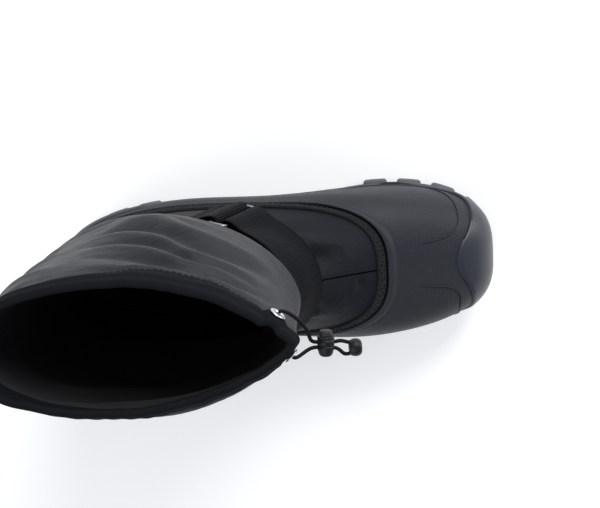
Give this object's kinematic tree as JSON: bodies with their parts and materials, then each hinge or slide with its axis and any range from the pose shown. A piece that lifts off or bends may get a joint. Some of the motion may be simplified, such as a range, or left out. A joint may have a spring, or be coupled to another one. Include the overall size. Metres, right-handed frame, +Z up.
{
  "type": "snow boot",
  "caption": "Pull-on winter boot: lugged rubber sole, moulded rubber foot shell, padded nylon shaft with drawcord collar, webbing strap over the instep.",
  "frame": {"origin": "under the middle of the boot's bounding box, on the floor", "axes": "+X towards the toe, +Y to the boot's left, which is its inner side, +Z up"},
  "size_m": [0.3214, 0.1104, 0.2763],
  "materials": {
    "sole_rubber": "matt",
    "shell_rubber": "satin, fine grid texture",
    "bumper_rubber": "smooth satin",
    "nylon": "woven nylon",
    "footbed": "felt",
    "binding": "stitched woven tape",
    "webbing": "ribbed webbing",
    "metal": "nickel plated",
    "cord": "braided elastic cord",
    "plastic": "moulded",
    "button": "moulded"
  },
  "bodies": {
    "root": {"outsole": "sole_rubber", "shell": "shell_rubber", "toe_bumper": "bumper_rubber", "upper": "nylon", "insole": "footbed", "shell_binding": "binding", "instep_strap": "webbing", "strap_ring": "metal", "ring_tab": "webbing", "eyelet_medial": "metal", "eyelet_lateral": "metal", "drawcord_medial": "cord", "drawcord_lateral": "cord", "drawcord_loop_medial": "cord", "drawcord_loop_lateral": "cord", "cord_lock": "plastic", "cord_lock_button": "button", "cord_end": "plastic"}
  },
  "joints": []
}
